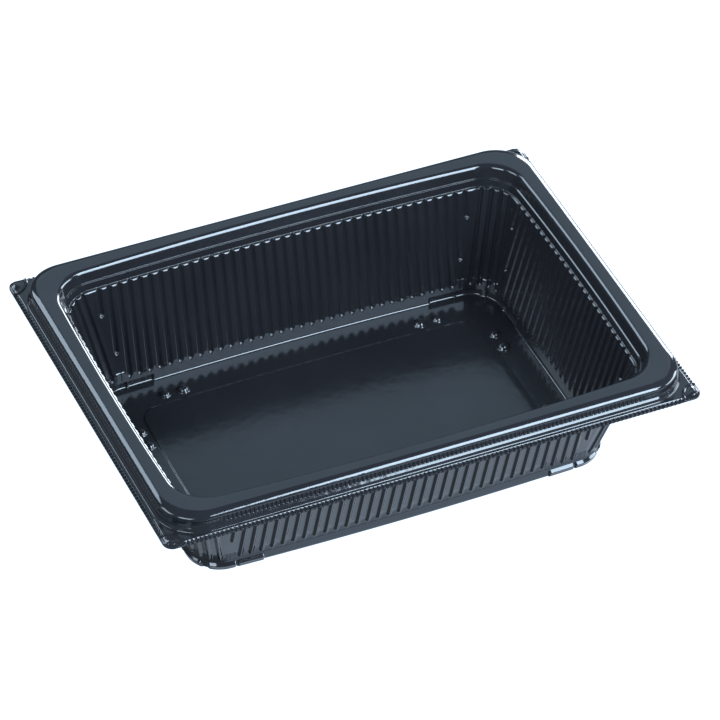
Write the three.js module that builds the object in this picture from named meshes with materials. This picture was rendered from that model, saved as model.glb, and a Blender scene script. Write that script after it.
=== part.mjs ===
// A shallow takeaway food tray, thermoformed from one plastic sheet and stood on its floor.
// Millimetres, +Z up. The origin is on the resting plane under the middle of the tray,
// +X runs along the long side and +Y along the short side. The tray is alike in all four quarters.
//
// The sheet is a stack of outlines. Each outline is a rounded rectangle whose four sides are
// shallow arcs, and the side arcs run tangent into the four corner arcs. Every outline of the
// upper face has a twin on the lower face, one sheet thickness away along the section's normal.
import * as THREE from 'three';

// ---- overall sizes ----
const SHEET = 0.6; // thickness of the plastic
const RIM_TOP = 55.65; // height of the flat rim above the resting plane
const FLANGE_HALF_X = 114.07; // half of the overall length
const FLANGE_HALF_Y = 83.91; // half of the overall width
const FLANGE_DROP = 7.95; // flange's upper face below the rim's
const FLANGE_CORNER = 4; // corner radius of the flange
const RIM_HALF_X = 110.2; // outer face of the skirt below the rim
const RIM_HALF_Y = 80.05;
const RIM_CORNER = 16;
const MOUTH_HALF_X = 103.75; // inner edge of the flat rim, at the middle of each side
const MOUTH_HALF_Y = 74.05;
const EDGE_INNER = 1.95; // rounding of the rim's inner edge
const EDGE_OUTER = 1.6; // rounding of the rim's outer edge
const INNER_TURNS = [10, 35, 62, 90]; // degrees at which that rounding has its rows
const OUTER_TURNS = [90, 45, 0];
const LEDGE_LOW = 50.35; // a narrow ledge on the inside, between the band and the mouth's wall
const LEDGE_HIGH = 50.6;
const LEDGE_RUN = 0.5;
const LEDGE_CORNER = 15.2;
const SKIRT_STEPS = [ // the skirt's foot and the step below it: how far out and how far down
  [0.05, 4.9],
  [1, 5.65],
  [1.35, 7.1],
  [2.05, 7.4],
];

// ---- the wall and its flutes ----
const WALL_TOP = 47.45; // the flutes start here, below a plain band
const WALL_TOP_HALF_X = 99.49;
const WALL_TOP_HALF_Y = 69.75;
const WALL_TOP_CORNER = 15;
const WALL_LOW = 8.95; // the lands between the flutes end here, above a plain foot band
const WALL_LOW_HALF_X = 90.38;
const WALL_LOW_HALF_Y = 59.5;
const WALL_LOW_CORNER = 13.7;
const LONG_BEND = 1994; // radius of the long walls' slight outward bow
const SHORT_BEND = 1474; // and of the short walls'
const MOUTH_BEND = 1580; // the mouth's long sides bow a little more
const STRAIGHT = 1e5; // as good as straight
const FLUTE_DEPTH = 1.1; // the lands stand this far inside the flutes
const FLUTE_HALF_MOUTH = 1.5;
const FLUTE_HALF_BACK = 0.55;
const LONG_PITCH = 4.5;
const LONG_FLUTES = 16; // full flutes on each side of the middle one
const SHORT_PITCH = 4.367;
const SHORT_FLUTES = 10; // full flutes in each half of a short wall, none in the middle
const CORNER_FLUTES = 4;
const SHOULDER = 0.45; // drop of the small shelf that leads from the band on to a land
const SHOULDER_TWIN = 0.4; // how far the shelf's lower face lies below its upper face
const BAND_START = 0.3; // the band's first row above the flutes
const BAND_START_RUN = 0.1;
const SCOOP = 0.85; // half the height of the rounded lower end of a flute
const SCOOP_SHARE = 0.3; // share of the depth that is gone where that rounding starts
const FLUTE_END = 5.9; // where a full flute runs out on the foot band
const HIGH_ENDS = [17.15, 34.95]; // where the two short flutes beside each corner run out

// ---- floor, pads and bumps ----
const FLOOR = SHEET; // upper face of the floor, whose border is what the tray rests on
const BAND_HALF_X = 88.75; // foot band, nearly upright, just above the floor
const BAND_HALF_Y = 57.6;
const BAND_CORNER = 13;
const BAND_DRAFT = 0.06;
const FLOOR_FILLET = 0.9;
const FILLET_WAIST = 0.3; // share of the fillet at its middle row
const PAD_TOP = 3.85; // the pads' sloping tops start here on the foot band
const PAD_BULGE = 1.1; // how far a pad stands out, and how high its sloping top is
const PAD_FOOT = 0.6; // share of that bulge left at the pad's foot
const PAD_TWIN = 0.25; // how much higher the pads' tops are on the outside
const PAD_SLOPE = 0.7; // width of the pads' sloping sides
const LONG_PAD = [62.2, 72.5]; // side pad on a long side
const SHORT_PAD = [30, 40.5]; // side pad on a short side
const CORNER_PAD = [73.9, 42.2]; // the corner pads start at this x and end at this y
const CORNER_NOTCH = 0.06; // half the notch between two corner pads, as a share of the corner arc
const CORNER_SHARES = [0.06, 0.17, 0.34]; // the corner pads' columns up to the notch
const SHORT_PLAIN = [6, 18]; // columns on the plain part of the sides, between the pads
const LONG_PLAIN = [45, 28, 10];
const PANEL_HALF_X = 74.3;
const PANEL_HALF_Y = 42;
const PANEL_CORNER = 7.5;
const PANEL_RISE = 0.4; // the panel stands this far above the floor's border
const PANEL_SLOPE = 1.2;
const BUMP_SIDES = 10;
const BUMP_WAIST = [0.76, 0.6]; // a bump's middle ring, as shares of its radius and height
const BUMPS = [ // x, y, radius and height of the bumps in one quarter
  [52.8, 46.6, 2.7, 2.1],
  [60.8, 46.5, 2.3, 1.8],
  [78.5, 28.7, 2.3, 1.8],
  [78.5, 20.4, 2.7, 2.1],
];
const TURN = 2 * Math.PI;

// ---- outlines ----
// halfX and halfY reach to the middle of the sides, bendX and bendY are the radii of the short and
// the long sides, and the corner arc's centre follows from its being tangent to both.
function outline(halfX, halfY, corner, bendX, bendY, z) {
  const centreX = halfX - bendX;
  const centreY = halfY - bendY;
  let x = halfX - corner;
  let y = halfY - corner;
  for (let pass = 0; pass < 20; pass += 1) {
    y = centreY + Math.sqrt((bendY - corner) ** 2 - x * x);
    x = centreX + Math.sqrt((bendX - corner) ** 2 - y * y);
  }
  const shortTurn = Math.atan2(y, x - centreX);
  const longTurn = Math.atan2(y - centreY, x);
  return {
    centreX, centreY, corner, bendX, bendY, z, x, y, shortTurn, longTurn,
    shortEnd: bendX * Math.sin(shortTurn),
    longEnd: bendY * Math.cos(longTurn),
  };
}

// A column says where round a quarter a point lies: a share of the short side, the corner arc or
// the long side, or a fixed y on the short side or a fixed x on the long one.
function onOutline(o, column, push) {
  let turn;
  let radius = o.corner;
  let cx = o.x;
  let cy = o.y;
  const { kind, at } = column;
  if (kind === 'corner') turn = o.shortTurn + at * (o.longTurn - o.shortTurn);
  if (kind === 'y' && at > o.shortEnd) turn = Math.asin((at - o.y) / o.corner);
  if (kind === 'x' && at > o.longEnd) turn = Math.acos((at - o.x) / o.corner);
  if (turn === undefined && (kind === 'short' || kind === 'y')) {
    turn = Math.asin((kind === 'y' ? at : at * o.shortEnd) / o.bendX);
    radius = o.bendX;
    cx = o.centreX;
    cy = 0;
  }
  if (turn === undefined) {
    turn = Math.acos((kind === 'x' ? at : at * o.longEnd) / o.bendY);
    radius = o.bendY;
    cx = 0;
    cy = o.centreY;
  }
  const reach = radius + push;
  return [cx + reach * Math.cos(turn), cy + reach * Math.sin(turn)];
}

// One quarter's columns, from the short side's middle round to the long side's, laid out in all
// four quarters.
function allRound(quarter) {
  const back = [...quarter].reverse();
  return [
    ...quarter.map((c) => ({ ...c, sx: 1, sy: 1 })),
    ...back.map((c) => ({ ...c, sx: -1, sy: 1 })),
    ...quarter.map((c) => ({ ...c, sx: -1, sy: -1 })),
    ...back.map((c) => ({ ...c, sx: 1, sy: -1 })),
  ];
}

const spread = (kind, from, to, steps) => Array.from(
  { length: steps },
  (_, i) => ({ kind, at: from + ((to - from) * i) / (steps - 1) }),
);

// ---- points and faces ----
const points = [];
const faces = [];

function addPoint(x, y, z) {
  points.push(x, y, z);
  return points.length / 3 - 1;
}

function addFace(a, b, c, lower) {
  if (lower) faces.push(a, c, b);
  else faces.push(a, b, c);
}

// A ring of points on an outline. Its key orders points round the tray for joining rings.
function addRing(o, columns, push = 0) {
  return columns.map((column) => {
    const [x, y] = onOutline(o, column, column.push ?? push);
    const px = x * column.sx;
    const py = y * column.sy;
    const z = column.z ?? o.z;
    return { id: addPoint(px, py, z), key: Math.atan2(py / FLANGE_HALF_Y, px / FLANGE_HALF_X) };
  });
}

// Joins an inner ring to an outer one, seen from above and anticlockwise. Rings with as many
// points are joined one to one, others step by step in the order of their keys.
function joinRings(inner, outer, lower) {
  const n = inner.length;
  const m = outer.length;
  if (n === m) {
    for (let i = 0; i < n; i += 1) {
      const j = (i + 1) % n;
      addFace(inner[i].id, outer[i].id, outer[j].id, lower);
      addFace(inner[i].id, outer[j].id, inner[j].id, lower);
    }
    return;
  }
  const key = (ring, i) => ring[i % ring.length].key + (i >= ring.length ? TURN : 0);
  const wrapped = (ring) => ring.map((p) => ({ ...p, key: (p.key + TURN) % TURN }));
  const a = wrapped(inner);
  const b = wrapped(outer);
  let i = 0;
  let j = 0;
  while (i < n || j < m) {
    const stepInner = j >= m || (i < n && key(a, i + 1) < key(b, j + 1));
    if (stepInner) {
      addFace(a[i % n].id, b[j % m].id, a[(i + 1) % n].id, lower);
      i += 1;
    } else {
      addFace(a[i % n].id, b[j % m].id, b[(j + 1) % m].id, lower);
      j += 1;
    }
  }
}

// ---- the wall ----
function wallOutline(z) {
  const t = (z - WALL_LOW) / (WALL_TOP - WALL_LOW);
  const mix = (low, top) => low + (top - low) * t;
  return outline(
    mix(WALL_LOW_HALF_X, WALL_TOP_HALF_X),
    mix(WALL_LOW_HALF_Y, WALL_TOP_HALF_Y),
    mix(WALL_LOW_CORNER, WALL_TOP_CORNER),
    SHORT_BEND,
    LONG_BEND,
    z,
  );
}

function bandOutline(z) {
  const lean = BAND_DRAFT * (z - FLOOR);
  return outline(BAND_HALF_X + lean, BAND_HALF_Y + lean, BAND_CORNER, SHORT_BEND, LONG_BEND, z);
}

// Four points across a flute: its two edges on the lands and its two back corners.
function fluteColumns(kind, middle, end, unit = 1) {
  return [-FLUTE_HALF_MOUTH, -FLUTE_HALF_BACK, FLUTE_HALF_BACK, FLUTE_HALF_MOUTH].map((off, i) => ({
    kind,
    at: middle + off * unit,
    back: i === 1 || i === 2,
    end,
  }));
}

function fluteQuarter() {
  const quarter = [];
  for (let i = 0; i < SHORT_FLUTES + HIGH_ENDS.length; i += 1) {
    const end = i < SHORT_FLUTES ? FLUTE_END : HIGH_ENDS[i - SHORT_FLUTES];
    quarter.push(...fluteColumns('y', (i + 0.5) * SHORT_PITCH, end));
  }
  const arc = (WALL_LOW_CORNER + WALL_TOP_CORNER) * Math.PI / 4;
  for (let i = 1; i <= CORNER_FLUTES; i += 1) {
    quarter.push(...fluteColumns('corner', i / (CORNER_FLUTES + 1), FLUTE_END, 1 / arc));
  }
  for (let i = LONG_FLUTES + HIGH_ENDS.length; i > 0; i -= 1) {
    const end = i <= LONG_FLUTES ? FLUTE_END : HIGH_ENDS[i - LONG_FLUTES - 1];
    quarter.push(...fluteColumns('x', i * LONG_PITCH, end).reverse());
  }
  quarter.push(...fluteColumns('x', 0, FLUTE_END).slice(2).reverse());
  return quarter;
}

// The fluted wall: a row that zigzags along the shelf, a row where the flutes' full depth ends
// and, below each flute, one point where it runs out.
function fluteRows(thick) {
  const columns = allRound(fluteQuarter());
  const shelf = WALL_TOP - (thick > 0 ? SHOULDER_TWIN : 0);
  const place = (column, o, push) => {
    const [x, y] = onOutline(o, column, push + thick);
    const px = x * column.sx;
    const py = y * column.sy;
    return { id: addPoint(px, py, o.z), key: Math.atan2(py / FLANGE_HALF_Y, px / FLANGE_HALF_X) };
  };
  const top = columns.map((c) => (c.back
    ? place(c, wallOutline(shelf), 0)
    : place(c, wallOutline(shelf - SHOULDER), -FLUTE_DEPTH)));
  const low = columns.map((c) => (c.back
    ? place(c, wallOutline(c.end + 2 * SCOOP), -SCOOP_SHARE * FLUTE_DEPTH)
    : place(c, wallOutline(Math.max(c.end + SCOOP, WALL_LOW)), -FLUTE_DEPTH)));
  const tip = (c) => (c.end < WALL_LOW
    ? place(c, bandOutline(c.end), 0)
    : place(c, wallOutline(c.end), -FLUTE_DEPTH));
  return { columns, top, low, tip };
}

function buildWall(thick, lower) {
  const { columns, top, low, tip } = fluteRows(thick);
  joinRings(low, top, lower);
  const border = [];
  for (let i = 0; i < columns.length; i += 1) {
    const left = columns[i];
    const right = columns[(i + 1) % columns.length];
    if (!left.back) border.push(low[i]);
    if (left.back && right.back) {
      const middle = (left.at * left.sx === -right.at * right.sx && left.kind === 'x')
        ? { ...left, at: 0 }
        : { ...left, at: (left.at + right.at) / 2 };
      const end = tip(middle);
      const before = low[(i - 1 + columns.length) % columns.length];
      const after = low[(i + 2) % columns.length];
      const next = low[(i + 1) % columns.length];
      addFace(end.id, before.id, low[i].id, lower);
      addFace(end.id, low[i].id, next.id, lower);
      addFace(end.id, next.id, after.id, lower);
      border.push(end);
    }
  }
  return { top, border };
}

// ---- sheet section above the flutes ----
// Each row gives the outline's half sizes, corner, long-side bend and height, from the band above
// the flutes up over the rim and down the skirt to the flange's edge.
function rimSection() {
  const rows = [];
  const add = (halfX, halfY, corner, bendX, bendY, z) => {
    rows.push({ halfX, halfY, corner, bendX, bendY, z });
  };
  const slope = (WALL_TOP_HALF_Y - WALL_LOW_HALF_Y) / (WALL_TOP - WALL_LOW);
  const addBand = (run, corner, z) => {
    add(WALL_TOP_HALF_X + run, WALL_TOP_HALF_Y + run, corner, SHORT_BEND, LONG_BEND, z);
  };
  const lean = slope * (LEDGE_LOW - WALL_TOP);
  addBand(BAND_START_RUN, WALL_TOP_CORNER, WALL_TOP + BAND_START);
  addBand(lean, LEDGE_CORNER, LEDGE_LOW);
  addBand(lean + LEDGE_RUN, LEDGE_CORNER + LEDGE_RUN, LEDGE_HIGH);
  for (const degrees of INNER_TURNS) {
    const turn = THREE.MathUtils.degToRad(degrees);
    const inset = EDGE_INNER * Math.cos(turn);
    const z = RIM_TOP - EDGE_INNER * (1 - Math.sin(turn));
    add(MOUTH_HALF_X - inset, MOUTH_HALF_Y - inset, RIM_CORNER, SHORT_BEND, MOUTH_BEND, z);
  }
  for (const degrees of OUTER_TURNS) {
    const turn = THREE.MathUtils.degToRad(degrees);
    const inset = EDGE_OUTER * (1 - Math.cos(turn));
    const z = RIM_TOP - EDGE_OUTER * (1 - Math.sin(turn));
    add(RIM_HALF_X - inset, RIM_HALF_Y - inset, RIM_CORNER, STRAIGHT, STRAIGHT, z);
  }
  for (const [out, drop] of SKIRT_STEPS) {
    const corner = RIM_CORNER + out;
    add(RIM_HALF_X + out, RIM_HALF_Y + out, corner, STRAIGHT, STRAIGHT, RIM_TOP - drop);
  }
  const flange = RIM_TOP - FLANGE_DROP;
  add(FLANGE_HALF_X, FLANGE_HALF_Y, FLANGE_CORNER, STRAIGHT, STRAIGHT, flange);
  return rows;
}

// How far each row's twin lies outward and up: along the section's normals, mitred at each row.
function twinOffsets(rows) {
  const normals = rows.slice(1).map((row, i) => {
    const run = row.halfY - rows[i].halfY;
    const rise = row.z - rows[i].z;
    const length = Math.hypot(run, rise);
    return [rise / length, -run / length];
  });
  return rows.map((_, i) => {
    const before = normals[Math.max(i - 1, 0)];
    const after = normals[Math.min(i, normals.length - 1)];
    const sum = [before[0] + after[0], before[1] + after[1]];
    const scale = (2 * SHEET) / (sum[0] ** 2 + sum[1] ** 2);
    return [sum[0] * scale, sum[1] * scale];
  });
}

const RIM_QUARTER = [
  ...spread('short', 0.12, 1, 3),
  ...spread('corner', 1 / 8, 7 / 8, 7),
  ...spread('long', 1, 0.1, 4),
];

function buildRim(lower) {
  const rows = rimSection();
  const twins = twinOffsets(rows);
  const columns = allRound(RIM_QUARTER);
  return rows.map((row, i) => {
    const [push, lift] = lower ? twins[i] : [0, 0];
    const o = outline(row.halfX, row.halfY, row.corner, row.bendX, row.bendY, row.z + lift);
    return addRing(o, columns, push);
  });
}

// ---- floor and pads ----
// The pad mask is 1 on a pad and 0 between pads, and each pad's sides slope between the two.
function padQuarter() {
  const side = (kind, [from, to]) => [
    { kind, at: from - PAD_SLOPE, pad: 0 },
    { kind, at: from, pad: 1 },
    { kind, at: to, pad: 1 },
    { kind, at: to + PAD_SLOPE, pad: 0 },
  ];
  const [startX, endY] = CORNER_PAD;
  const half = [
    ...CORNER_SHARES.map((at) => ({ kind: 'corner', at, pad: 1 })),
    { kind: 'corner', at: 0.5 - 2 * CORNER_NOTCH, pad: 1 },
    { kind: 'corner', at: 0.5 - CORNER_NOTCH / 2, pad: 0 },
  ];
  const otherHalf = half.map((c) => ({ ...c, at: 1 - c.at })).reverse();
  return [
    ...SHORT_PLAIN.map((at) => ({ kind: 'y', at, pad: 0 })),
    ...side('y', SHORT_PAD),
    { kind: 'y', at: endY, pad: 1 },
    ...half,
    ...otherHalf,
    { kind: 'x', at: startX, pad: 1 },
    ...side('x', LONG_PAD).reverse().slice(1),
    ...LONG_PLAIN.map((at) => ({ kind: 'x', at, pad: 0 })),
  ];
}

// Rows from the foot band down over the pads and round the fillet to the flat floor, for both faces.
function buildFloorEdge(lower) {
  const columns = allRound(padQuarter());
  const floor = lower ? 0 : FLOOR;
  const fillet = FLOOR_FILLET + (lower ? SHEET : 0);
  const top = PAD_TOP + (lower ? PAD_TWIN : 0);
  const waist = fillet * FILLET_WAIST;
  const rows = [
    { z: top, out: 0, bulge: 0 },
    { z: top - PAD_BULGE, out: 0, bulge: PAD_BULGE },
    { z: floor + fillet, out: 0, bulge: PAD_BULGE * PAD_FOOT },
    { z: floor + waist, out: -waist, bulge: PAD_BULGE * PAD_FOOT },
    { z: floor, out: -fillet, bulge: PAD_BULGE * PAD_FOOT },
  ];
  return rows.map((row) => {
    const push = row.out + (lower ? SHEET : 0);
    const shaped = columns.map((c) => ({ ...c, push: push + row.bulge * c.pad, z: row.z }));
    return addRing(bandOutline(Math.max(row.z, FLOOR)), shaped);
  });
}

// The floor is flat round the bumps, then steps up to the raised panel.
function buildFloor(edge, lower) {
  const z = lower ? 0 : FLOOR;
  const columns = allRound([
    ...spread('short', 0.2, 1, 2),
    ...spread('corner', 1 / 4, 3 / 4, 3),
    ...spread('long', 1, 0.15, 3),
  ]);
  const panelOutline = (grow, height) => outline(
    PANEL_HALF_X + grow,
    PANEL_HALF_Y + grow,
    PANEL_CORNER + grow,
    SHORT_BEND,
    LONG_BEND,
    height,
  );
  const panelEdge = addRing(panelOutline(PANEL_SLOPE, z), columns);
  const panel = addRing(panelOutline(0, z + PANEL_RISE), columns);
  joinRings(panel, panelEdge, lower);

  const at = (p) => new THREE.Vector2(points[p.id * 3], points[p.id * 3 + 1]);
  const holes = [];
  const holeRings = [];
  for (const [x, y, radius, height] of BUMPS) {
    for (const [sx, sy] of [[1, 1], [-1, 1], [-1, -1], [1, -1]]) {
      const ring = (share, up) => Array.from({ length: BUMP_SIDES }, (_, i) => {
        const turn = (TURN * (i + 0.5)) / BUMP_SIDES;
        const reach = radius * share;
        return { id: addPoint(x * sx + reach * Math.cos(turn), y * sy + reach * Math.sin(turn), z + up) };
      });
      const base = ring(1, 0);
      const [waist, lift] = BUMP_WAIST;
      const shoulder = ring(waist, height * lift);
      const crown = addPoint(x * sx, y * sy, z + height);
      joinRings(shoulder, base, lower);
      shoulder.forEach((p, i) => addFace(crown, p.id, shoulder[(i + 1) % BUMP_SIDES].id, lower));
      holes.push(base.map(at));
      holeRings.push(base);
    }
  }
  holes.push(panelEdge.map(at));
  holeRings.push(panelEdge);
  const all = [...edge, ...holeRings.flat()];
  for (const [a, b, c] of THREE.ShapeUtils.triangulateShape(edge.map(at), holes)) {
    addFace(all[a].id, all[b].id, all[c].id, lower);
  }
  for (const [a, b, c] of THREE.ShapeUtils.triangulateShape(panel.map(at), [])) {
    addFace(panel[a].id, panel[b].id, panel[c].id, lower);
  }
}

// ---- both faces of the sheet, closed along the flange's cut edge ----
function buildFace(lower) {
  const wall = buildWall(lower ? SHEET : 0, lower);
  const rim = buildRim(lower);
  joinRings(wall.top, rim[0], lower);
  for (let i = 1; i < rim.length; i += 1) joinRings(rim[i - 1], rim[i], lower);
  const edge = buildFloorEdge(lower);
  joinRings(edge[0], wall.border, lower);
  for (let i = 1; i < edge.length; i += 1) joinRings(edge[i], edge[i - 1], lower);
  buildFloor(edge[edge.length - 1], lower);
  return rim[rim.length - 1];
}

function trayGeometry() {
  const upperEdge = buildFace(false);
  const lowerEdge = buildFace(true);
  joinRings(upperEdge, lowerEdge, false);
  const geometry = new THREE.BufferGeometry();
  geometry.setAttribute('position', new THREE.Float32BufferAttribute(points, 3));
  geometry.setIndex(faces);
  geometry.computeVertexNormals();
  return geometry;
}

const blackPlastic = new THREE.MeshStandardMaterial({
  color: new THREE.Color(0.035, 0.04, 0.048),
  roughness: 0.22,
  metalness: 0,
});

const tray = new THREE.Mesh(trayGeometry(), blackPlastic);
tray.name = 'tray';

const container = new THREE.Group();
container.add(tray);

export default container;
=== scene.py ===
"""A shallow black thermoformed food tray with a fluted wall, a stepped rim and a knurled flange.

Every visible surface is computed from named sizes. The first block below holds sizes that are
the solid's own. The second holds those that are within a millimetre of the solid's, and that round
its edges a little more widely. The third is fine relief that the solid doesn't have. The tray's
lengths are in millimetres and become metres in make_piece; the studio's are in metres. The origin
is on the resting plane under the middle.
"""
import math

import bpy
import numpy as np
from mathutils import Matrix


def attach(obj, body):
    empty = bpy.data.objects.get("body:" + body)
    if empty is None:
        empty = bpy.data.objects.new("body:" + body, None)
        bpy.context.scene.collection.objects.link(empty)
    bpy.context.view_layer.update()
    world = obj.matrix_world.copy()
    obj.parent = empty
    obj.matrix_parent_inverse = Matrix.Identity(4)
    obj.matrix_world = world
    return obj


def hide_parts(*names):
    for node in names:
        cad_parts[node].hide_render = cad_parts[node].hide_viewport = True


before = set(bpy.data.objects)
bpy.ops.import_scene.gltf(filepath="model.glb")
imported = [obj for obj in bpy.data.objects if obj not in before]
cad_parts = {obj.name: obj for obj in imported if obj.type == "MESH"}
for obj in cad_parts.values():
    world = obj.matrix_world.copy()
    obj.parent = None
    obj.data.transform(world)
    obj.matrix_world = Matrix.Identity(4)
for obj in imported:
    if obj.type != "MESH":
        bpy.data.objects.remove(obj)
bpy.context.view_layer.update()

MM = 0.001

# ---- sizes shared with the solid ----
SHEET = 0.6
RIM_TOP = 55.65
FLANGE_CORNER = 4.0
RIM = (110.2, 80.05)
RIM_CORNER = 16.0
WALL_TOP = 47.45
WALL_TOP_HALF = (99.49, 69.75)
WALL_TOP_CORNER = 15.0
WALL_LOW = 8.95
WALL_LOW_HALF = (90.38, 59.5)
WALL_LOW_CORNER = 13.7
LONG_BEND = 1994.0
SHORT_BEND = 1474.0
MOUTH_BEND = 1580.0
STRAIGHT = 1e5
FLUTE_DEPTH = 1.1
LONG_PITCH = 4.5
LONG_FLUTES = 16
SHORT_PITCH = 4.367
SHORT_FLUTES = 10
CORNER_FLUTES = 4
SHOULDER_TWIN = 0.4
FLUTE_END = 5.9
HIGH_ENDS = (17.15, 34.95)
LEDGE = 50.35
LEDGE_CORNER = 15.2
STRIP_OUT = 2.05
STRIP_TOP = 48.25
FLOOR = SHEET
BAND_HALF = (88.75, 57.6)
BAND_CORNER = 13.0
BAND_DRAFT = 0.06
FLOOR_FILLET = 0.9
FLOOR_JOINT = 6.35
PAD_TOP = 3.85
PAD_BULGE = 1.1
PAD_FOOT = 0.6
PAD_TWIN = 0.25
PAD_SLOPE = 0.7
LONG_PAD = (62.2, 72.5)
SHORT_PAD = (30.0, 40.5)
CORNER_PAD = (73.9, 42.2)
CORNER_NOTCH = 0.06
PANEL_HALF = (74.3, 42.0)
PANEL_CORNER = 7.5
PANEL_RISE = 0.4
PANEL_SLOPE = 1.2
# for each bump: its place in x and y, its radius at the floor and its height
BUMPS = ((52.8, 46.6, 2.7, 2.1), (60.8, 46.5, 2.3, 1.8), (78.5, 28.7, 2.3, 1.8), (78.5, 20.4, 2.7, 2.1))

# ---- sizes close to the solid's ----
FLANGE = (114.05, 83.89)
MOUTH = (104.4, 74.7)
EDGE_INNER = 2.3
EDGE_OUTER = 1.9
SHOULDER = 0.9
LEDGE_STEP = (0.5, 0.28)
SKIRT_RUN = 0.05
SKIRT_MIDDLE = RIM_TOP - 2.5
SKIRT_FOOT = RIM_TOP - 5.15
STEP_RUN = 0.6
STEP_TOP = RIM_TOP - 6.0
STEP_FOOT = (1.1, STRIP_TOP + 0.1)

# ---- the flat rim, where the rows round the mouth and round the skirt meet ----
RIM_MIDDLE = ((MOUTH[0] + RIM[0]) / 2, (MOUTH[1] + RIM[1]) / 2)
MIDDLE_RUN = 2.6
MIDDLE_BEND_LONG = 4000.0
MIDDLE_BEND_SHORT = SHORT_BEND + 3000.0

# ---- fine relief and joints between pieces ----
FLUTE_HALF_INNER = 1.5
FLUTE_HALF_OUTER = 1.45
FLUTE_RISE = 1.25
KNURL_PITCH = 1.8
KNURL_DEPTH = 0.42
KNURL_PULL = 0.22
RIB_DEPTH = 0.52
RIB_LOW, RIB_HIGH = 50.55, 53.1
RIB_END_LONG = 92.0
RIB_END_SHORT = 61.0
BEAD_RISE = 0.05
TAB_RADIUS = 8.0
TAB_LINE = 0.5
TAB_HATCH = 0.16
TAB_PITCH = 1.15
TAB_DOME = 0.75
MARK_DEPTH = 0.035
CORNER_INSET = 0.5 / (CORNER_FLUTES + 1)
NO_FLUTE = 9.0
BAND_JOINT = 5.1
WALL_JOINT = 49.0


# ---- outlines ----
def column(values, shape):
    """A value for each row, as a one-column array."""
    return np.broadcast_to(np.asarray(values, float), shape).reshape(-1, 1)


def outline(half_x, half_y, corner, bend_x=SHORT_BEND, bend_y=LONG_BEND):
    """Rounded rectangles whose sides are shallow arcs, one for each row.

    The corner arc's centre is where the circles bend_x - corner about (half_x - bend_x, 0) and
    bend_y - corner about (0, half_y - bend_y) cross. Lengths along a quarter run from the long
    side's middle: bend_y times the long side's turn, then corner times the rest, then the short side.
    """
    shape = np.broadcast(half_x, half_y, corner, bend_x, bend_y).shape or (1,)
    half_x, half_y = column(half_x, shape), column(half_y, shape)
    corner, bend_x, bend_y = column(corner, shape), column(bend_x, shape), column(bend_y, shape)
    centre_x, centre_y = half_x - bend_x, half_y - bend_y
    x, y = half_x - corner, half_y - corner
    for _ in range(30):
        y = centre_y + np.sqrt((bend_y - corner) ** 2 - x * x)
        x = centre_x + np.sqrt((bend_x - corner) ** 2 - y * y)
    turn_long = np.arctan2(x, y - centre_y)
    turn_short = np.arctan2(y, x - centre_x)
    made = dict(centre_x=centre_x, centre_y=centre_y, corner=corner, bend_x=bend_x, bend_y=bend_y)
    made.update(x=x, y=y, turn_long=turn_long, long=bend_y * turn_long, short=bend_x * turn_short)
    made["arc"] = corner * (math.pi / 2 - turn_long - turn_short)
    made["whole"] = made["long"] + made["arc"] + made["short"]
    return made


def walk(o, along, push=0.0):
    """Points at a length along a quarter, pushed outward: centre + (radius + push) (sin, cos) of
    the turn.

    The turn is along / bend_y on the long side, and so on round. Returns x, y and the normal.
    """
    on_long = along <= o["long"]
    on_arc = ~on_long & (along <= o["long"] + o["arc"])
    turn = np.where(on_arc, o["turn_long"] + (along - o["long"]) / o["corner"],
                    math.pi / 2 - (o["whole"] - along) / o["bend_x"])
    turn = np.where(on_long, along / o["bend_y"], turn)
    radius = np.where(on_long, o["bend_y"], np.where(on_arc, o["corner"], o["bend_x"])) + push
    middle_x = np.where(on_long, 0.0, np.where(on_arc, o["x"], o["centre_x"]))
    middle_y = np.where(on_long, o["centre_y"], np.where(on_arc, o["y"], 0.0))
    return middle_x + radius * np.sin(turn), middle_y + radius * np.cos(turn), np.sin(turn), np.cos(turn)


def along_share(o, share):
    """Shares 0 to 1, 1 to 2 and 2 to 3 run along the long side, the corner arc and the short side."""
    part = np.clip(share, 0, 1) * o["long"] + np.clip(share - 1, 0, 1) * o["arc"]
    return part + np.clip(share - 2, 0, 1) * o["short"]


def shares(long_steps, corner_steps, short_steps):
    """Evenly spread shares for one quarter."""
    return np.concatenate([
        np.linspace(0, 1, long_steps, endpoint=False),
        np.linspace(1, 2, corner_steps, endpoint=False),
        np.linspace(2, 3, short_steps + 1),
    ])[None, :]


def all_round(x, y, z):
    """Mirrors a quarter's columns into the other three and joins them into a ring, clockwise from
    above."""
    n = x.shape[1]
    order = np.concatenate([
        np.arange(n), np.arange(n - 2, -1, -1), np.arange(1, n), np.arange(n - 2, 0, -1),
    ])
    side_x = np.concatenate([np.ones(2 * n - 1), -np.ones(2 * n - 3)])
    side_y = np.concatenate([np.ones(n), -np.ones(2 * n - 2), np.ones(n - 2)])
    z = np.broadcast_to(z, x.shape)
    return x[:, order] * side_x, y[:, order] * side_y, z[:, order]


def smooth_step(value):
    """3 v2 - 2 v3 of the value clipped to 0..1."""
    v = np.clip(value, 0, 1)
    return v * v * (3 - 2 * v)


def smooth_max(a, b, soft):
    """The larger of two, rounded where they cross: (a + b + sqrt((a - b)2 + soft2) - soft) / 2."""
    return (a + b + np.sqrt((a - b) ** 2 + soft ** 2) - soft) / 2


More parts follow.
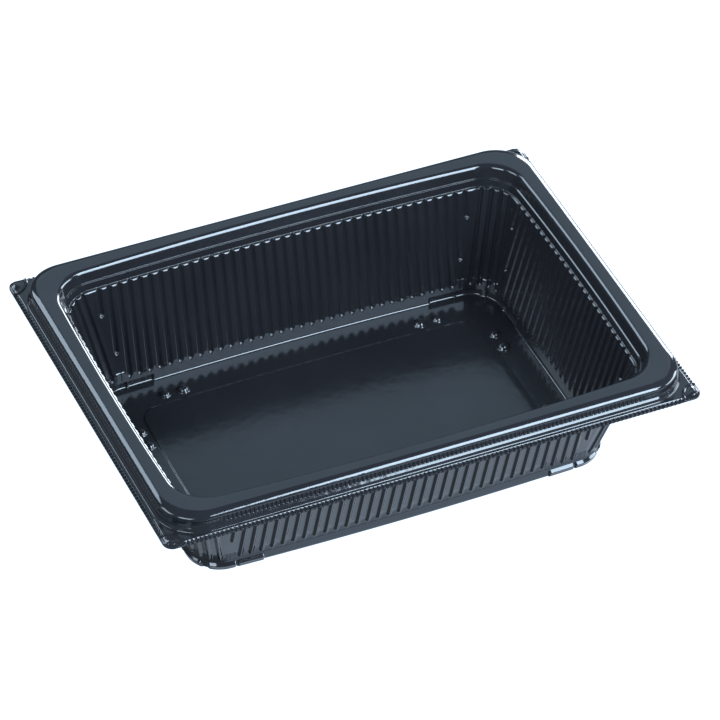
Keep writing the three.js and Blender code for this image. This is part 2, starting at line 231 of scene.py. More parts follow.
# ---- meshes ----
def make_piece(name, grids, fans=()):
    """One mesh from grids of points in mm, each (x, y, z, closed), with a quad between neighbours.

    Rows run outward on an upper face and inward on a lower one, so every face looks outwards.
    A fan closes a grid's first or last row on a centre point: (grid number, row, point, turned over).
    """
    points, quads, starts, start = [], [], [], 0
    for x, y, z, closed in grids:
        index = start + np.arange(x.size).reshape(x.shape)
        starts.append(index)
        if closed:
            index = np.hstack([index, index[:, :1]])
        corners = (index[:-1, :-1], index[:-1, 1:], index[1:, 1:], index[1:, :-1])
        quads.append(np.stack(corners, -1).reshape(-1, 4))
        points.append(np.stack([x, y, np.broadcast_to(z, x.shape)], -1).reshape(-1, 3))
        start += x.size
    triangles = []
    for grid, row, centre, over in fans:
        ring = starts[grid][row]
        after = np.roll(ring, -1)
        middle = np.full(ring.shape, start)
        triangles.append(np.stack((middle, after, ring) if over else (middle, ring, after), -1))
        points.append(np.array([centre], float))
        start += 1
    quads = np.concatenate(quads)
    triangles = np.concatenate(triangles) if triangles else np.zeros((0, 3), int)
    points = np.concatenate(points) * MM
    corners = np.concatenate([quads.ravel(), triangles.ravel()]).astype(np.int32)
    begin = np.concatenate([np.arange(len(quads)) * 4, len(quads) * 4 + np.arange(len(triangles)) * 3])
    mesh = bpy.data.meshes.new(name)
    mesh.vertices.add(len(points))
    mesh.vertices.foreach_set("co", points.astype(np.float32).ravel())
    mesh.loops.add(len(corners))
    mesh.loops.foreach_set("vertex_index", corners)
    mesh.polygons.add(len(begin))
    mesh.polygons.foreach_set("loop_start", begin.astype(np.int32))
    mesh.update(calc_edges=True)
    mesh.polygons.foreach_set("use_smooth", np.ones(len(begin), bool))
    made = bpy.data.objects.new(name, mesh)
    bpy.context.scene.collection.objects.link(made)
    return made


# ---- the fluted wall ----
def wall_outline(z):
    """The flutes' backs: half sizes and corner mixed in proportion to the height."""
    t = (z - WALL_LOW) / (WALL_TOP - WALL_LOW)
    mix = lambda low, top: low + (top - low) * t
    return outline(mix(WALL_LOW_HALF[0], WALL_TOP_HALF[0]), mix(WALL_LOW_HALF[1], WALL_TOP_HALF[1]),
                   mix(WALL_LOW_CORNER, WALL_TOP_CORNER))


def band_outline(z):
    """The foot band: a little wider with height."""
    lean = BAND_DRAFT * (z - FLOOR)
    return outline(BAND_HALF[0] + lean, BAND_HALF[1] + lean, BAND_CORNER)


def flute_columns(steps=18):
    """One quarter's columns: the stretch each lies in, its place there, the way to its flute's middle
    and the height where that flute ends. Stretches are 0 long, 1 and 2 the short flutes beside the
    corner, 3 land, 4 corner, 5 land, 6 and 7 short flutes, 8 short side."""
    long_end = (LONG_FLUTES + 0.5) * LONG_PITCH
    short_end = SHORT_FLUTES * SHORT_PITCH
    arc = (WALL_LOW_CORNER + WALL_TOP_CORNER) * math.pi / 4
    parts = []

    def add(stretch, place, off, end):
        place = np.asarray(place, float)
        parts.append((np.full(place.shape, stretch), place, np.broadcast_to(off, place.shape),
                      np.broadcast_to(end, place.shape)))

    x = np.linspace(0, long_end, int((LONG_FLUTES + 0.5) * steps), endpoint=False)
    add(0, x, x - np.round(x / LONG_PITCH) * LONG_PITCH, FLUTE_END)
    half = np.linspace(0, 1, steps, endpoint=False)
    add(1, half, (half - 0.5) * LONG_PITCH, HIGH_ENDS[0])
    add(2, half, (half - 0.5) * LONG_PITCH, HIGH_ENDS[1])
    land = np.linspace(0, 1, 6, endpoint=False)
    add(3, land, NO_FLUTE, 0.0)
    turn = np.linspace(CORNER_INSET, 1 - CORNER_INSET, CORNER_FLUTES * steps, endpoint=False)
    number = turn * (CORNER_FLUTES + 1)
    add(4, turn, (number - np.round(number)) * arc / (CORNER_FLUTES + 1), FLUTE_END)
    add(5, land, NO_FLUTE, 0.0)
    add(6, half, (half - 0.5) * SHORT_PITCH, HIGH_ENDS[1])
    add(7, half, (half - 0.5) * SHORT_PITCH, HIGH_ENDS[0])
    y = short_end - np.linspace(0, short_end, SHORT_FLUTES * steps + 1)
    add(8, y, y - (np.floor(y / SHORT_PITCH) + 0.5) * SHORT_PITCH, FLUTE_END)
    return [np.concatenate([p[i] for p in parts])[None, :] for i in range(4)]


def flute_along(o, stretch, place):
    """Where each column lies along a quarter, for each row. Flutes keep their x or y all the way up;
    the short ones' columns close up below their ends, where the corner leaves them no room."""
    fixed = lambda v, bend: bend * np.arcsin(v / bend)
    long_end = (LONG_FLUTES + 0.5) * LONG_PITCH
    short_end = SHORT_FLUTES * SHORT_PITCH
    limit = o["long"] + CORNER_INSET * o["arc"]
    knot2 = np.minimum(long_end + 2 * LONG_PITCH, limit - 0.25)
    knot1 = np.minimum(long_end + LONG_PITCH, knot2 - 0.25)
    back = o["short"] + CORNER_INSET * o["arc"]
    shut2 = np.minimum(short_end + 2 * SHORT_PITCH, back - 0.25)
    shut1 = np.minimum(short_end + SHORT_PITCH, shut2 - 0.25)
    mix = lambda a, b: a + (b - a) * place
    choices = [
        fixed(place, LONG_BEND), mix(long_end, knot1), mix(knot1, knot2), mix(knot2, limit),
        o["long"] + place * o["arc"], o["whole"] - mix(back, shut2), o["whole"] - mix(shut2, shut1),
        o["whole"] - mix(shut1, short_end), o["whole"] - fixed(place, SHORT_BEND),
    ]
    full = np.broadcast_shapes(o["long"].shape, place.shape)
    return np.select([np.broadcast_to(stretch == i, full) for i in range(9)],
                     [np.broadcast_to(c, full) for c in choices])


def flute_rows():
    """Heights of the wall's rows, close together at the flutes' ends, the ledge and the shoulder."""
    low = np.concatenate([np.arange(BAND_JOINT, 8.7, 0.13), [8.82]])
    high = np.concatenate([
        [9.08, 9.3, 10.2, 13.2], np.arange(16.9, 18.9, 0.16), [22, 27, 32], np.arange(34.7, 36.7, 0.16),
        [39, 42, 44.5, 46.2], np.arange(46.45, 47.8, 0.06), [48.0, 48.4, WALL_JOINT],
    ])
    return low, high


def wall_face(half_mouth, thick, soft, shelf):
    """The whole fluted wall as a ring, for the face thick mm outward of the flutes' backs.

    A flute's section is (1 + cos(pi off / half_mouth)) / 2 and its lower end rounds off as
    sqrt(1 - fall2). Lands stand FLUTE_DEPTH inside, and their tops round over to the band in a
    quarter of an ellipse, SHOULDER high, that ends at height shelf. soft rounds the lands' edges.
    """
    low, high = flute_rows()
    stretch, place, off, end = flute_columns()
    shape = 0.5 + 0.5 * np.cos(math.pi * np.clip(np.abs(off) / half_mouth, 0, 1))
    rows = []
    for z, outlines in ((low, band_outline(low)), (high, wall_outline(high))):
        z = z[:, None]
        fall = np.clip((end + FLUTE_RISE - z) / FLUTE_RISE, 0, 1)
        round_end = np.sqrt(1 - fall * fall)
        along = flute_along(outlines, stretch, place)
        x, y, nx, ny = walk(outlines, along)
        if outlines["corner"][0, 0] == BAND_CORNER:
            t = (z - WALL_LOW) / (WALL_TOP - WALL_LOW)
            lean = BAND_DRAFT * (z - FLOOR)
            gap = [low + (top - low) * t - band - lean
                   for low, top, band in zip(WALL_LOW_HALF, WALL_TOP_HALF, BAND_HALF)]
            depth = nx * nx * gap[0] + ny * ny * gap[1]
            flute = depth * round_end - FLUTE_DEPTH * (1 - shape)
            push = smooth_max(np.zeros_like(depth), flute, soft)
        else:
            flute = -FLUTE_DEPTH * (1 - shape) - FLUTE_DEPTH * (1 - round_end)
            push = smooth_max(np.full_like(flute, -FLUTE_DEPTH), flute, soft)
            climb = np.clip(1 - (shelf - z) / SHOULDER, 0, 1)
            push = np.maximum(push, -FLUTE_DEPTH * np.sqrt(1 - climb * climb))
        rows.append((x + (push + thick) * nx, y + (push + thick) * ny, np.broadcast_to(z, x.shape)))
    return all_round(*(np.concatenate([r[i] for r in rows]) for i in range(3)))


def make_wall():
    """Four quarters of the wall, inner and outer face, parted on lands where nothing shows."""
    inner = wall_face(FLUTE_HALF_INNER, 0.0, 0.1, WALL_TOP)
    outer = wall_face(FLUTE_HALF_OUTER, SHEET, 0.16, WALL_TOP - SHOULDER_TWIN)
    n = (inner[0].shape[1] + 4) // 4
    half_flute = 9
    cuts = [half_flute, n - 1, 2 * (n - 1) + half_flute, 3 * (n - 1), 4 * (n - 1) + half_flute]
    names = ("wall_back_right", "wall_front_right", "wall_front_left", "wall_back_left")
    made = []
    for name, first, last in zip(names, cuts[:-1], cuts[1:]):
        pick = np.arange(first, last + 1) % inner[0].shape[1]
        upper = [a[:, pick] for a in inner]
        lower = [a[::-1, pick] for a in outer]
        made.append(make_piece(name, [(*upper, False), (*lower, False)]))
    return made


# ---- rim, skirt and flange ----
def section_points(knots, radii, steps=6):
    """A polyline's corners rounded by arcs of the given radii, as points in its own plane.

    Each arc starts radius * tan(turn / 2) before its corner and ends as far after it.
    """
    knots = np.array(knots, float)
    out = [knots[0]]
    for before, here, after, radius in zip(knots[:-2], knots[1:-1], knots[2:], radii):
        a, b = before - here, after - here
        a, b = a / np.hypot(*a), b / np.hypot(*b)
        half = math.acos(np.clip(a @ b, -1, 1)) / 2
        if radius == 0 or half > math.pi / 2 - 0.01:
            out.append(here)
            continue
        centre = here + (a + b) / np.hypot(*(a + b)) * radius / math.sin(half)
        first = here + a * radius / math.tan(half) - centre
        last = here + b * radius / math.tan(half) - centre
        sweep = math.pi - 2 * half
        for t in np.linspace(0, 1, steps):
            mixed = first * math.sin((1 - t) * sweep) + last * math.sin(t * sweep)
            out.append(centre + mixed / math.sin(sweep))
    out.append(knots[-1])
    return np.array(out)


def refine(points, longest):
    """Adds evenly spaced points so that no step of a polyline is longer than longest."""
    out = [points[0]]
    for a, b in zip(points[:-1], points[1:]):
        n = max(1, int(math.ceil(np.hypot(*(b - a)) / longest)))
        out.extend(a + (b - a) * k / n for k in range(1, n + 1))
    return np.array(out)


WALL_LEAN = (WALL_TOP_HALF[1] - WALL_LOW_HALF[1]) / (WALL_TOP - WALL_LOW)


def inner_section(down=0.0):
    """The section from the plain band over the ledge and the mouth to the flat rim's middle, as
    (run outward, height), measured from the mouth's inner edge. down is the depth below the
    upper face, which moves every straight stretch along its normal."""
    lean = WALL_LEAN * (LEDGE - WALL_TOP)
    band_out = WALL_TOP_HALF[1] + lean - MOUTH[1]
    step = band_out + LEDGE_STEP[0]
    mouth = -EDGE_INNER * 0.72
    knots = [
        (band_out - WALL_LEAN * (LEDGE - WALL_JOINT) + down, WALL_JOINT),
        (band_out + down, LEDGE - down * 0.9),
        (step + down, LEDGE + LEDGE_STEP[1] - down * 0.9),
        (mouth + down, RIM_TOP - down),
        (MIDDLE_RUN, RIM_TOP - down),
    ]
    soft = EDGE_INNER - down
    return section_points(knots, (0.12 + down * 0.2, 0.2, soft), 12)


def rim_rows(section):
    """Outlines for rows of a section round the mouth: the wall's shape at the ledge turns into the
    mouth's over the upper wall and into the rim's across the flat top."""
    out, z = section[:, 0], section[:, 1]
    lean = WALL_LEAN * (LEDGE - WALL_TOP)
    band = (WALL_TOP_HALF[0] + lean, WALL_TOP_HALF[1] + lean)
    rise = np.clip((z - LEDGE - LEDGE_STEP[1]) / (RIM_TOP - LEDGE - LEDGE_STEP[1]), 0, 1)
    start = WALL_TOP_HALF[1] + lean + LEDGE_STEP[0] - MOUTH[1]
    x_extra = (band[0] + LEDGE_STEP[0] - MOUTH[0]) - start
    half_x = MOUTH[0] + out + x_extra * (1 - rise)
    half_y = MOUTH[1] + out
    flat = np.clip(out / MIDDLE_RUN, 0, 1)
    half_x = half_x * (1 - flat) + RIM_MIDDLE[0] * flat
    half_y = half_y * (1 - flat) + RIM_MIDDLE[1] * flat
    bend = 1 / ((1 - rise) / LONG_BEND + rise * (1 - flat) / MOUTH_BEND + flat / MIDDLE_BEND_LONG)
    corner = LEDGE_CORNER + (RIM_CORNER - LEDGE_CORNER) * rise
    bend_x = SHORT_BEND + flat * (MIDDLE_BEND_SHORT - SHORT_BEND)
    return outline(half_x, half_y, corner, bend_x, bend)


def make_rim():
    """Upper face from the plain band to the flat rim's middle, with faint upright marks above the
    ledge: a cosine of the place along the side, MARK_DEPTH deep."""
    section = refine(inner_section(), 1.1)
    o = rim_rows(section)
    share = shares(190, 55, 130)
    along = along_share(o, share)
    z = section[:, 1][:, None]
    mark = smooth_step((z - LEDGE - 0.4) / 0.6) * smooth_step((RIM_TOP - 1.3 - z) / 1.5)
    push = MARK_DEPTH * mark * np.cos(2 * math.pi * along / LONG_PITCH)
    x, y, nx, ny = walk(o, along)
    return make_piece("rim", [(*all_round(x + push * nx, y + push * ny, z), True)])


def skirt_section():
    """The section over the outer edge, down the skirt and over the step, as (run outward, height)."""
    knots = [
        (-MIDDLE_RUN, RIM_TOP), (0.0, RIM_TOP), (SKIRT_RUN, SKIRT_MIDDLE), (SKIRT_RUN, SKIRT_FOOT),
        (STEP_RUN, STEP_TOP), STEP_FOOT, (STRIP_OUT, STRIP_TOP),
    ]
    return section_points(knots, (EDGE_OUTER, 0.0, 0.3, 0.25, 0.0), 12)


def skirt_rows(section):
    """Outlines parallel to the rim's; the flat top's middle is shared with the mouth's rows."""
    out = section[:, 0]
    flat = np.clip(-out / MIDDLE_RUN, 0, 1)
    half_x = (RIM[0] + out) * (1 - flat) + RIM_MIDDLE[0] * flat
    half_y = (RIM[1] + out) * (1 - flat) + RIM_MIDDLE[1] * flat
    bend = 1 / ((1 - flat) / STRAIGHT + flat / MIDDLE_BEND_LONG)
    bend_x = 1 / ((1 - flat) / STRAIGHT + flat / MIDDLE_BEND_SHORT)
    return outline(half_x, half_y, RIM_CORNER + np.clip(out, 0, 9), bend_x, bend)


def straight_fade(distance, length, width):
    """1 on the straight part of a side, falling to 0 before the corner arc starts."""
    return smooth_step((length - distance) / width)


def make_skirt():
    """Upper face from the flat rim's middle to the strip below the step. Fine upright ribs stand on
    the skirt's lower half on the straight stretches: a cosine of the place along the side."""
    section = refine(skirt_section(), 0.42)
    o = skirt_rows(section)
    share = shares(311, 90, 210)
    x, y, nx, ny = walk(o, along_share(o, share))
    z = np.broadcast_to(section[:, 1][:, None], x.shape)
    on_skirt = section[:, 0][:, None] > -SKIRT_RUN
    rib = smooth_step((z - RIB_LOW) / 0.4) * smooth_step((RIB_HIGH - z) / 0.5) * on_skirt
    long_rib = np.cos(2 * math.pi * x / KNURL_PITCH) * straight_fade(x, RIB_END_LONG, 5.0) * ny ** 4
    short_rib = np.cos(2 * math.pi * y / KNURL_PITCH) * straight_fade(y, RIB_END_SHORT, 5.0) * nx ** 4
    push = -RIB_DEPTH * rib * (0.5 - 0.5 * (long_rib + short_rib)) * smooth_step(ny ** 8 + nx ** 8)
    return make_piece("skirt", [(*all_round(x + push * nx, y + push * ny, z), True)])


def flange_span(quarter):
    """Points on the strip's inner outline and on the flange's edge for one quarter's shares, paired
    so that the columns run straight across beside both sides, and the edge's normals."""
    inner = outline(RIM[0] + STRIP_OUT, RIM[1] + STRIP_OUT, RIM_CORNER + STRIP_OUT, STRAIGHT, STRAIGHT)
    outer = outline(FLANGE[0], FLANGE[1], FLANGE_CORNER, STRAIGHT, STRAIGHT)
    across = outer["whole"] - inner["long"] - inner["short"]
    along = np.clip(quarter, 0, 1) * inner["long"] + np.clip(quarter - 1, 0, 1) * across
    along = along + np.clip(quarter - 2, 0, 1) * inner["short"]
    return (*walk(inner, along_share(inner, quarter))[:2], *walk(outer, along))


def make_flange():
    """Upper face from the strip to the flange's edge: a faint bead, the knurled strip and the cut
    edge. The knurl is a cosine along each side, cut into the strip; each corner carries a raised
    quarter-circle line about the sharp corner with a domed, cross-hatched field inside it."""
    share = np.concatenate([
        np.linspace(0, 0.09, 3), np.linspace(0.11, 0.27, 7), np.linspace(0.3, 0.96, 15), [0.99, 1.0],
    ])[:, None]
    xi, yi, xo, yo, nx, ny = flange_span(shares(311, 96, 210))
    x = xi + (xo - xi) * share
    y = yi + (yo - yi) * share
    to_x, to_y = FLANGE[0] - x, FLANGE[1] - y
    nearer_long = smooth_step((to_x - to_y) / 1.2 + 0.5)
    edge = np.minimum(to_x, to_y)
    corner = np.hypot(to_x, to_y)
    outside_tab = smooth_step((corner - TAB_RADIUS - 0.2) / 0.8)
    z = STRIP_TOP - 0.28 * smooth_step((2.3 - edge) / 0.9) - 0.27 * np.clip((1.9 - edge) / 1.9, 0, 1)
    bead = np.exp(-((edge - 2.0) / 0.24) ** 2)
    z = z + BEAD_RISE * bead * smooth_step((corner - TAB_RADIUS) / 4)
    wave = np.cos(2 * math.pi * np.where(nearer_long > 0.5, x, y) / KNURL_PITCH)
    strip = smooth_step((1.75 - edge) / 0.3) * outside_tab
    z = z - KNURL_DEPTH * strip * (0.5 - 0.5 * wave)
    pull = KNURL_PULL * strip * (0.5 - 0.5 * wave) * smooth_step((share - 0.8) / 0.2)
    x = x - pull * nx
    y = y - pull * ny
    line = np.exp(-((corner - TAB_RADIUS) / 0.42) ** 2)
    u, v = (to_x + to_y) * 0.7071, (to_x - to_y) * 0.7071
    hatch = np.cos(2 * math.pi * u / TAB_PITCH) * np.cos(2 * math.pi * v / TAB_PITCH)
    dome = np.exp(-(((u - 4.4) / 1.7) ** 2 + (v / 2.3) ** 2))
    field = smooth_step((TAB_RADIUS - 0.7 - corner) / 0.5)
    field = field * (TAB_HATCH * hatch * smooth_step(edge / 0.5) + TAB_DOME * dome)
    z = z + TAB_LINE * line * smooth_step(share / 0.15) + field
    drops = np.array([0.06, 0.3, SHEET])[:, None]
    x = np.concatenate([x, np.repeat(x[-1:], len(drops), 0)])
    y = np.concatenate([y, np.repeat(y[-1:], len(drops), 0)])
    z = np.concatenate([z, z[-1:] - drops])
    return make_piece("flange", [(*all_round(x, y, z), True)])


def make_underside():
    """Lower face of rim, skirt and flange, one sheet thickness inside the upper one, from the
    flange's edge in to the plain band."""
    inner = refine(inner_section(SHEET), 1.1)
    knots = [
        (-MIDDLE_RUN, RIM_TOP - SHEET), (-SHEET, RIM_TOP - SHEET), (-SHEET, SKIRT_MIDDLE),
        (-SHEET, SKIRT_FOOT - 0.5), (0.5, STEP_TOP - SHEET), (0.85, STRIP_TOP - 0.4),
        (STRIP_OUT, STRIP_TOP - SHEET),
    ]
    skirt = refine(section_points(knots, (0.6, 0.0, 0.5, 0.3, 0.0), 5), 1.2)
    share = shares(170, 60, 120)
    parts = []
    for section, o in ((inner, rim_rows(inner)), (skirt[1:], skirt_rows(skirt[1:]))):
        x, y, _, _ = walk(o, along_share(o, share))
        parts.append((x, y, np.broadcast_to(section[:, 1][:, None], x.shape)))
    xi, yi, xo, yo, _, _ = flange_span(share)
    step = np.linspace(0.15, 1, 6)[:, None]
    parts.append((xi + (xo - xi) * step, yi + (yo - yi) * step, STRIP_TOP - SHEET - 0.53 * step + 0 * xi))
    x, y, z = (np.concatenate([p[i] for p in parts])[::-1] for i in range(3))
    return make_piece("underside", [(*all_round(x, y, z), True)])


# ---- floor and pads ----
def pad_mask(o, along):
    """1 on a pad and 0 between pads, from the place along the band: two side pads and the corner
    pad in two parts."""
    rest = o["whole"] - along
    turn = (along - o["long"]) / o["arc"]
    edge = lambda value, at: smooth_step((value - at) / PAD_SLOPE + 0.5)
    mask = edge(along, LONG_PAD[0] - PAD_SLOPE / 2) - edge(along, LONG_PAD[1] + PAD_SLOPE / 2)
    corner = edge(along, CORNER_PAD[0] - PAD_SLOPE / 2) * edge(rest, CORNER_PAD[1] - PAD_SLOPE / 2)
    split = 1 - smooth_step((CORNER_NOTCH * 1.5 - np.abs(turn - 0.5)) / (CORNER_NOTCH * 0.9))
    mask = mask + corner * split
    return mask + edge(rest, SHORT_PAD[0] - PAD_SLOPE / 2) - edge(rest, SHORT_PAD[1] + PAD_SLOPE / 2)


def band_columns(step):
    """Shares for one quarter of the band, closer together round the pads."""
    o = band_outline(np.array([FLOOR]))
    long, arc, short = (float(o[k][0, 0]) for k in ("long", "arc", "short"))
    xs = np.concatenate([np.arange(0, 60, step), np.arange(60, long, step * 0.55)]) / long
    arcs = 1 + np.arange(0, arc, step * 0.75) / arc
    ys = 3 - np.concatenate([np.arange(0, 28, step), np.arange(28, short, step * 0.55)])[::-1] / short
    return np.concatenate([xs, arcs, ys[ys > 2.0]])[None, :]


def edge_face(lower, step):
    """The band's foot, the pads and the fillet. Rows carry (height, run outward, bulge): a pad's top
    slopes out by PAD_BULGE over as much height, its face draws in to PAD_FOOT of that, and the mask
    scales the bulge column by column. The fillet is a quarter circle."""
    wall = SHEET if lower else 0.0
    fillet = FLOOR_FILLET + wall
    floor = FLOOR - wall
    top = PAD_TOP + (PAD_TWIN if lower else 0.0)
    brow, foot = top - PAD_BULGE, floor + fillet
    rows = [(z, wall, 0.0) for z in (BAND_JOINT, 4.7, top + 0.2, top + 0.04)]
    rows += [(top - PAD_BULGE * t, wall, PAD_BULGE * t) for t in (0.04, 0.2, 0.5, 0.8, 0.95)]
    rows += [(brow + (foot - brow) * t, wall, PAD_BULGE * (1 - (1 - PAD_FOOT) * t))
             for t in (0.04, 0.2, 0.6, 1.0)]
    low_bulge = PAD_BULGE * PAD_FOOT
    for t in np.linspace(0, math.pi / 2, 9)[1:]:
        rows.append((floor + fillet * (1 - math.sin(t)), wall - fillet * (1 - math.cos(t)), low_bulge))
    rows += [(floor, wall - fillet - 0.15, low_bulge), (floor, -2.5, 0.0), (floor, -FLOOR_JOINT, 0.0)]
    z, run, bulge = (np.array([r[i] for r in rows])[:, None] for i in range(3))
    o = band_outline(np.maximum(z[:, 0], FLOOR))
    along = along_share(o, band_columns(step))
    x, y, nx, ny = walk(o, along)
    push = run + bulge * pad_mask(o, along)
    return all_round(x + push * nx, y + push * ny, np.broadcast_to(z, x.shape))


def bump_height(x, y):
    """Round bumps: a sphere's cap on each, faded into the floor at its foot."""
    z = np.zeros_like(x)
    for bx, by, radius, height in BUMPS:
        reach = (np.abs(x) - bx) ** 2 + (np.abs(y) - by) ** 2
        ball = (radius * radius + height * height) / (2 * height)
        cap = np.sqrt(np.maximum(ball * ball - reach, 0)) - (ball - height)
        z = np.maximum(z, smooth_max(cap, np.zeros_like(cap), 0.08))
    return z


def floor_face(lower, step):
    """From inside the pads to the raised panel and its middle. Between the band's outline and the
    panel's, points are mixed in proportion; inside the panel they shrink towards the middle."""
    floor = FLOOR - (SHEET if lower else 0.0)
    outer = outline(*(size - FLOOR_JOINT for size in (*BAND_HALF, BAND_CORNER)))
    edge = outline(*(size + PANEL_SLOPE for size in (*PANEL_HALF, PANEL_CORNER)))
    panel = outline(PANEL_HALF[0], PANEL_HALF[1], PANEL_CORNER)
    share = band_columns(step)
    spot = [walk(o, along_share(o, share))[:2] for o in (outer, edge, panel)]
    rows = []
    for t in np.linspace(0, 1, 27):
        x, y = (spot[0][i] + (spot[1][i] - spot[0][i]) * t for i in (0, 1))
        rows.append((x, y, floor + bump_height(x, y)))
    for t in np.linspace(0, 1, 8)[1:]:
        x, y = (spot[1][i] + (spot[2][i] - spot[1][i]) * t for i in (0, 1))
        rows.append((x, y, np.full_like(x, floor + PANEL_RISE * float(smooth_step(t)))))
    for t in (0.97, 0.8, 0.5, 0.2, 0.02):
        rows.append((spot[2][0] * t, spot[2][1] * t, np.full_like(spot[2][0], floor + PANEL_RISE)))
    x, y, z = (np.concatenate([r[i] for r in rows]) for i in range(3))
    return all_round(x, y, z), floor + PANEL_RISE


def make_floor():
    """The floor's edge with its pads, and the floor with bumps and panel, upper and lower faces."""
    upper = edge_face(False, 0.42)
    lower = edge_face(True, 0.62)
    edge = make_piece("floor_edge", [(*(a[::-1] for a in upper), True), (*lower, True)])
    upper, upper_z = floor_face(False, 0.42)
    lower, lower_z = floor_face(True, 0.62)
    floor = make_piece("floor", [(*(a[::-1] for a in upper), True), (*lower, True)],
                       [(0, 0, (0, 0, upper_z), True), (1, -1, (0, 0, lower_z), False)])
    return [edge, floor]


# ---- material ----
TONES = ((0.0072, 0.0084, 0.0112, 1), (0.0092, 0.0106, 0.0140, 1))
ROUGHNESS = (0.075, 0.115)
BORDER_ROUGHNESS = 0.07
BORDER_HEIGHTS = (0.0011, 0.0017)
RIPPLE_STRENGTH = 0.12
RIPPLE_HEIGHT = 0.0004


def remap(tree, value, source, target):
    """A node's value moved from one range to another and kept within it."""
    made = tree.nodes.new("ShaderNodeMapRange")
    for name, number in zip(("From Min", "From Max", "To Min", "To Max"), (*source, *target)):
        made.inputs[name].default_value = number
    tree.links.new(value, made.inputs["Value"])
    return made.outputs["Result"]


def sheet_finish():
    """Node group: noise on the object's own place gives the tone, the roughness and a shallow
    ripple of the pressed sheet. What lies below BORDER_HEIGHTS, in metres, is a little duller."""
    group = bpy.data.node_groups.new("sheet_finish", "ShaderNodeTree")
    sockets = (("Tone", "NodeSocketColor"), ("Roughness", "NodeSocketFloat"), ("Normal", "NodeSocketVector"))
    for name, kind in sockets:
        group.interface.new_socket(name=name, in_out="OUTPUT", socket_type=kind)
    nodes, links = group.nodes, group.links
    out = nodes.new("NodeGroupOutput")
    place = nodes.new("ShaderNodeTexCoord")

    def noise(scale, detail):
        made = nodes.new("ShaderNodeTexNoise")
        made.inputs["Scale"].default_value = scale
        made.inputs["Detail"].default_value = detail
        links.new(place.outputs["Object"], made.inputs["Vector"])
        return made.outputs["Fac"]

    noise_span = (0.3, 0.7)
    tone = nodes.new("ShaderNodeMix")
    tone.data_type = "RGBA"
    tone.inputs[6].default_value, tone.inputs[7].default_value = TONES
    links.new(remap(group, noise(34.0, 3.0), noise_span, (0.0, 1.0)), tone.inputs[0])
    links.new(tone.outputs[2], out.inputs["Tone"])
    height = nodes.new("ShaderNodeSeparateXYZ")
    links.new(place.outputs["Object"], height.inputs["Vector"])
    duller = remap(group, height.outputs["Z"], BORDER_HEIGHTS, (BORDER_ROUGHNESS, 0.0))
    matt = nodes.new("ShaderNodeMath")
    links.new(duller, matt.inputs[0])
    links.new(remap(group, noise(160.0, 2.0), noise_span, ROUGHNESS), matt.inputs[1])
    links.new(matt.outputs["Value"], out.inputs["Roughness"])
    bump = nodes.new("ShaderNodeBump")
    bump.inputs["Strength"].default_value = RIPPLE_STRENGTH
    bump.inputs["Distance"].default_value = RIPPLE_HEIGHT
    links.new(noise(260.0, 1.5), bump.inputs["Height"])
    links.new(bump.outputs["Normal"], out.inputs["Normal"])
    return group


def black_sheet():
    """Glossy near-black plastic with a cold tint."""
    made = bpy.data.materials.new("black_sheet")
    made.use_nodes = True
    nodes, links = made.node_tree.nodes, made.node_tree.links
    shader = nodes["Principled BSDF"]
    finish = nodes.new("ShaderNodeGroup")
    finish.node_tree = sheet_finish()
    links.new(finish.outputs["Tone"], shader.inputs["Base Color"])
    links.new(finish.outputs["Roughness"], shader.inputs["Roughness"])
    links.new(finish.outputs["Normal"], shader.inputs["Normal"])
    shader.inputs["IOR"].default_value = 1.5
    shader.inputs["Specular Tint"].default_value = (0.74, 0.88, 1.0, 1)
    return made


plastic = black_sheet()
tray_pieces = [*make_wall(), make_rim(), make_skirt(), make_flange(), make_underside(), *make_floor()]
for piece in tray_pieces:
    piece.data.materials.append(plastic)
    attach(piece, "root")
    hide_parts("tray")


# ---- studio, in metres ----
GROUND_REACH = 6.0
# The GLOW sizes set painted light: the ground emits though it is no lamp, fully in a cone round GLOW_LEAN
# and faintly outside it, which paints darker, bluish reflections onto tray faces that mirror it.
GLOW_LEAN = (-0.638, -0.05, 0.768)
GLOW_TURN = (0.345, 0.47)
GLOW_STRENGTH = (1.02, 0.15)
GLOW_COLOUR = (1.0, 1.18, 1.4, 1)


def pale_floor():
    """A wide ground at the resting plane, dark grey in its own colour and white by painted glow: it emits
    light though it is no lamp, which also keeps shadows on it faint. It glows fully within a cone round
    GLOW_LEAN, up and to the left, which holds the camera, and fades outside it, so that faces of the tray
    that mirror the ground along other lines are darker: painted shade in their reflections. The glow's blue
    tint shows white to the camera and paints a blue cast into the tray's reflections. From other sides the
    ground looks grey."""
    mesh = bpy.data.meshes.new("ground")
    ends = (-GROUND_REACH, GROUND_REACH)
    corners = [(ends[i], ends[j], 0) for i, j in ((0, 0), (1, 0), (1, 1), (0, 1))]
    mesh.from_pydata(corners, [], [(0, 1, 2, 3)])
    made = bpy.data.objects.new("ground", mesh)
    bpy.context.scene.collection.objects.link(made)
    paint = bpy.data.materials.new("glowing_ground")
    paint.use_nodes = True
    nodes, links = paint.node_tree.nodes, paint.node_tree.links
    shader = nodes["Principled BSDF"]
    facing = nodes.new("ShaderNodeLayerWeight")
    facing.inputs["Blend"].default_value = 0.5
    lean = nodes.new("ShaderNodeCombineXYZ")
    for axis, value in zip("XYZ", GLOW_LEAN):
        lean.inputs[axis].default_value = value
    links.new(lean.outputs["Vector"], facing.inputs["Normal"])
    # Painted glow: the ground's emission strength, full in the cone round GLOW_LEAN and faint outside it.
    glow = remap(paint.node_tree, facing.outputs["Facing"], GLOW_TURN, GLOW_STRENGTH)
    links.new(glow, shader.inputs["Emission Strength"])
    shader.inputs["Base Color"].default_value = (0.06, 0.06, 0.06, 1)
    shader.inputs["Emission Color"].default_value = GLOW_COLOUR
    shader.inputs["Roughness"].default_value = 0.9
    shader.inputs["Specular IOR Level"].default_value = 0.0
    mesh.materials.append(paint)
    return made


pale_floor()


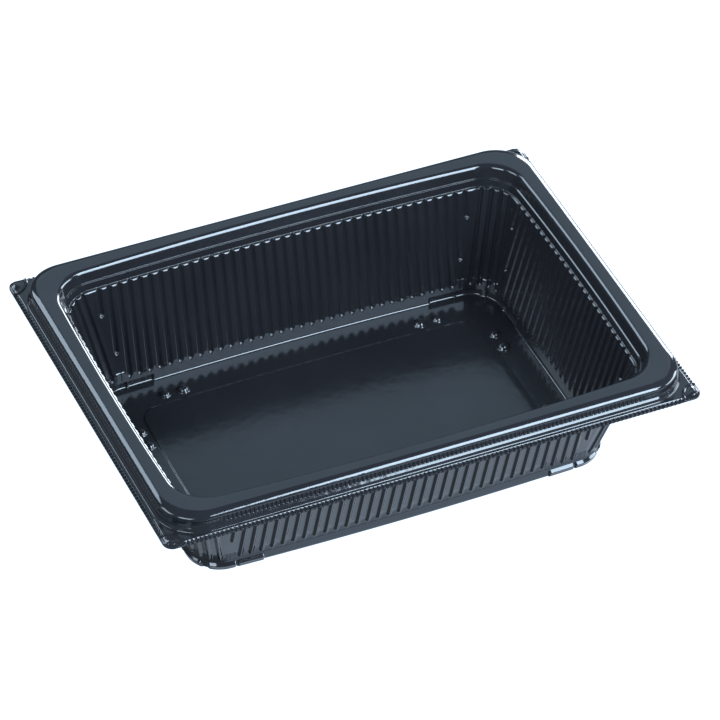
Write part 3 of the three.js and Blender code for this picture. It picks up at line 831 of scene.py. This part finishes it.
def soft_light(name, place, target, size, power, tint):
    """A rectangular light at place that faces target."""
    data = bpy.data.lights.new(name, "AREA")
    data.shape = "RECTANGLE"
    data.size, data.size_y = size
    data.energy = power
    data.color = tint
    made = bpy.data.objects.new(name, data)
    made.location = place
    aim = np.array(target) - np.array(place)
    flat = math.hypot(aim[0], aim[1])
    made.rotation_euler = (math.atan2(flat, -aim[2]), 0.0, math.atan2(aim[1], aim[0]) - math.pi / 2)
    bpy.context.scene.collection.objects.link(made)


MIDDLE = (0.0, 0.0, 0.05)
FRONT_TINT = (0.88, 0.94, 1.0)
# name, place, target, size, power in watts, tint
for light in (
    ("front_high", (0.6, -0.78, 1.1), (0.6, -0.78, 0.0), (0.5, 0.65), 24.0, FRONT_TINT),
    ("front_low", (0.6, -1.12, 0.74), (0.45, 0.0, 0.3), (0.45, 0.8), 24.0, FRONT_TINT),
    ("front_left", (-0.75, -0.65, 0.75), (0.0, 0.0, 0.03), (0.6, 0.6), 14.0, (0.95, 0.97, 1.0)),
    ("right", (1.15, -0.2, 0.45), MIDDLE, (0.9, 0.5), 24.0, FRONT_TINT),
    ("low_right", (0.94, 0.86, 0.3), MIDDLE, (0.5, 0.5), 13.0, (0.9, 0.95, 1.0)),
    ("back_left", (-0.62, 1.0, 0.85), MIDDLE, (0.5, 0.7), 9.0, (0.84, 0.92, 1.0)),
    ("left", (-1.1, 0.2, 0.9), MIDDLE, (0.6, 0.6), 9.0, (0.95, 0.97, 1.0)),
    ("back_panel", (0.5, 1.15, 1.06), MIDDLE, (1.5, 1.0), 4.2, (0.7, 0.88, 1.0)),
):
    soft_light(*light)

world = bpy.data.worlds.new("studio")
world.use_nodes = True
sky = world.node_tree.nodes["Background"]
sky.inputs["Color"].default_value = (0.74, 0.86, 1.0, 1)
sky.inputs["Strength"].default_value = 0.16
bpy.context.scene.world = world
bpy.context.scene.view_settings.view_transform = "Standard"

camera_data = bpy.data.cameras.new("camera")
camera_data.sensor_width = 36.0
camera_data.lens = 253.06
camera_data.clip_start = 0.1
camera_data.clip_end = 20.0
camera = bpy.data.objects.new("camera", camera_data)
CAMERA_PLACE = (-0.6429, -1.36645, 1.36959)
CAMERA_RIGHT = np.array((0.91243, -0.40853, 0.02401))
CAMERA_UP = np.array((0.25405, 0.61143, 0.74941))
turn = np.eye(4)
turn[:3, 0], turn[:3, 1] = CAMERA_RIGHT, CAMERA_UP
turn[:3, 2] = np.cross(CAMERA_RIGHT, CAMERA_UP)
turn[:3, 3] = CAMERA_PLACE
camera.matrix_world = Matrix(turn.tolist())
bpy.context.scene.collection.objects.link(camera)
bpy.context.scene.camera = camera
